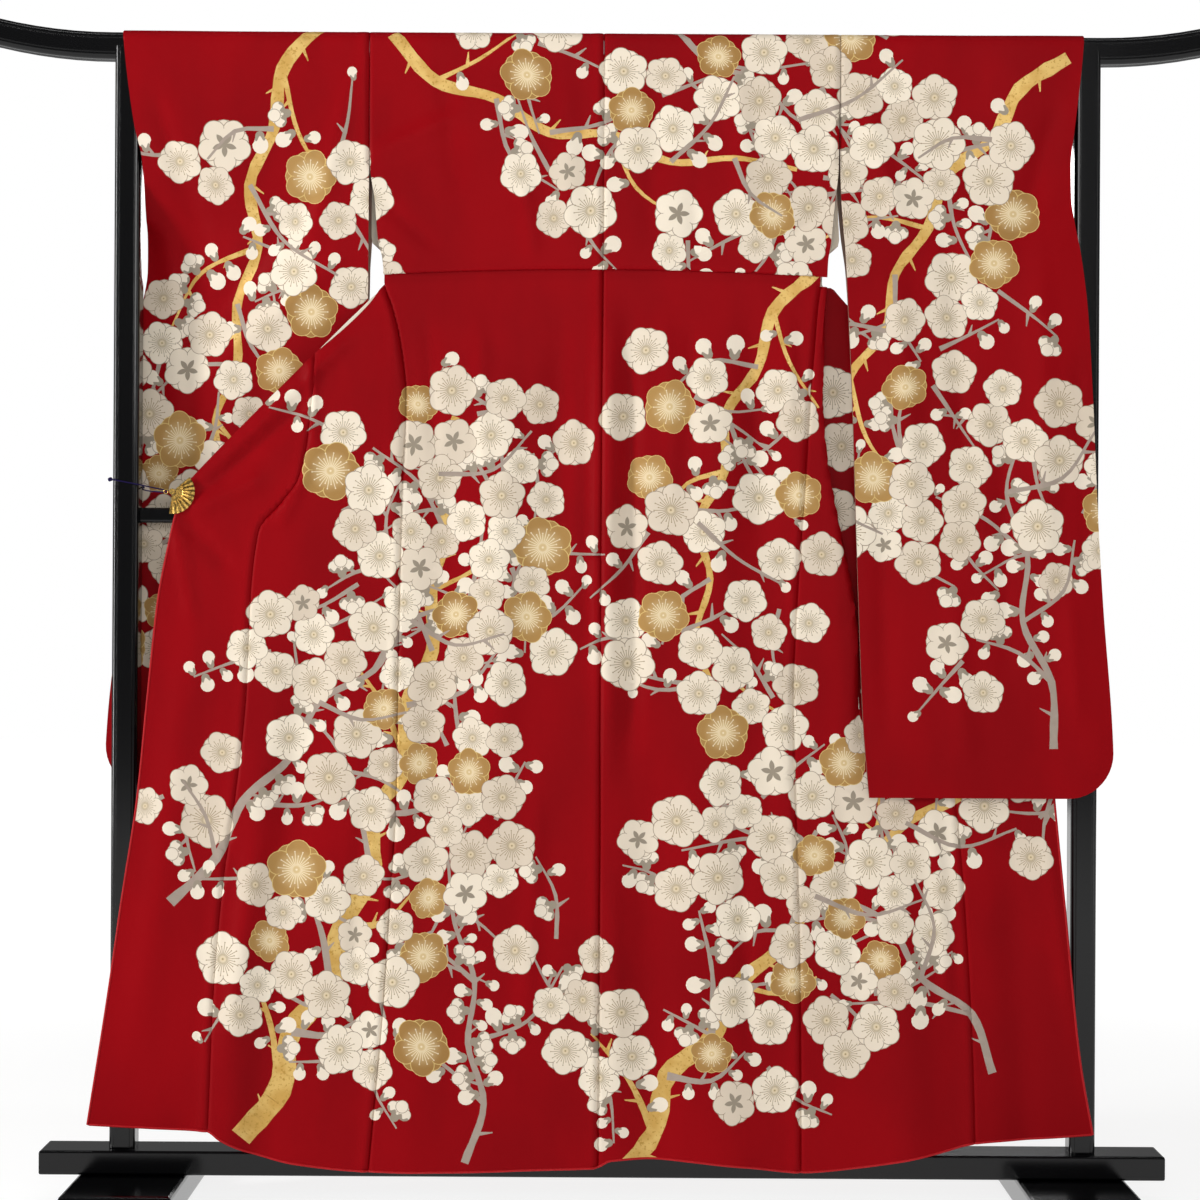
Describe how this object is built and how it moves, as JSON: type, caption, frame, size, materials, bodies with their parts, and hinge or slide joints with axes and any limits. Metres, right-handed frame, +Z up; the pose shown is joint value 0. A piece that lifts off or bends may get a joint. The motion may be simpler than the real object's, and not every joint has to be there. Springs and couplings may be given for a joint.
{
  "type": "furisode kimono on stand",
  "caption": "Crimson silk furisode with plum blossom, spread back to the front over a black lacquered kimono stand",
  "frame": {"origin": "on the floor, midway between the stand's two feet and on the top rod's centre plane", "axes": "+X along the top rod to the right as the picture shows it, +Y away from the viewer, +Z up; the kimono's back faces -Y"},
  "size_m": [1.76, 0.38, 1.657],
  "materials": {
    "patterned_silk": "crimson crepe silk dyed with white and gold plum blossom",
    "stand_lacquer": "black gloss lacquer over wood",
    "gilt_clip": "polished gilt",
    "clip_cord": "matte braided cord"
  },
  "bodies": {
    "root": {"back_left": "patterned_silk", "back_right": "patterned_silk", "front_left": "patterned_silk", "overlap_left": "patterned_silk", "front_right": "patterned_silk", "overlap_right": "patterned_silk", "sleeve_left_near": "patterned_silk", "sleeve_left_far": "patterned_silk", "sleeve_right_near": "patterned_silk", "sleeve_right_far": "patterned_silk", "chest_left": "patterned_silk", "chest_right": "patterned_silk", "collar_left": "patterned_silk", "collar_right": "patterned_silk", "over_collar": "patterned_silk", "top_rod": "stand_lacquer", "post_left": "stand_lacquer", "post_right": "stand_lacquer", "cross_bar": "stand_lacquer", "base_rail": "stand_lacquer", "foot_left": "stand_lacquer", "foot_right": "stand_lacquer", "clip_fan": "gilt_clip", "clip_jaw": "gilt_clip", "clip_pin": "gilt_clip", "clip_ring": "gilt_clip", "clip_cord": "clip_cord"}
  },
  "joints": []
}
